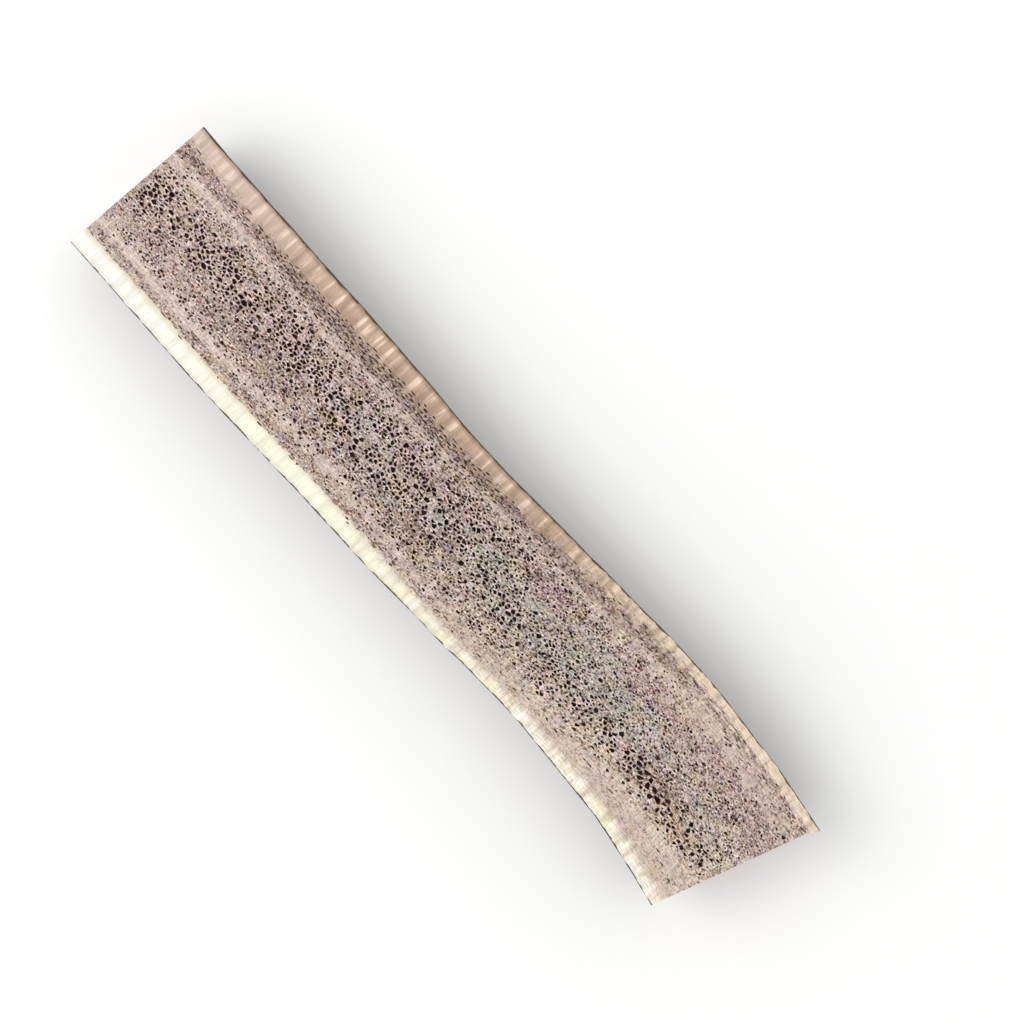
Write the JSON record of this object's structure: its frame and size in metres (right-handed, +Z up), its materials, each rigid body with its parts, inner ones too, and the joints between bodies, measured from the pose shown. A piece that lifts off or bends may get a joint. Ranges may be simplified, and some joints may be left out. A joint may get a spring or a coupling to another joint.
{
  "type": "split deer antler",
  "caption": "Half of a deer antler's beam, sawn lengthwise: porous sawn face up, rounded furrowed bark below, square-cut at one end and slanted at the other.",
  "frame": {"origin": "middle of the footprint, on the surface that the bark rests on", "axes": "+X along the antler towards the slanted end, +Y across it towards the splinter's side, +Z up out of the sawn face"},
  "size_m": [0.1708, 0.0352, 0.0158],
  "materials": {
    "antler": "matte"
  },
  "bodies": {
    "root": {"split_antler": "antler"}
  },
  "joints": []
}
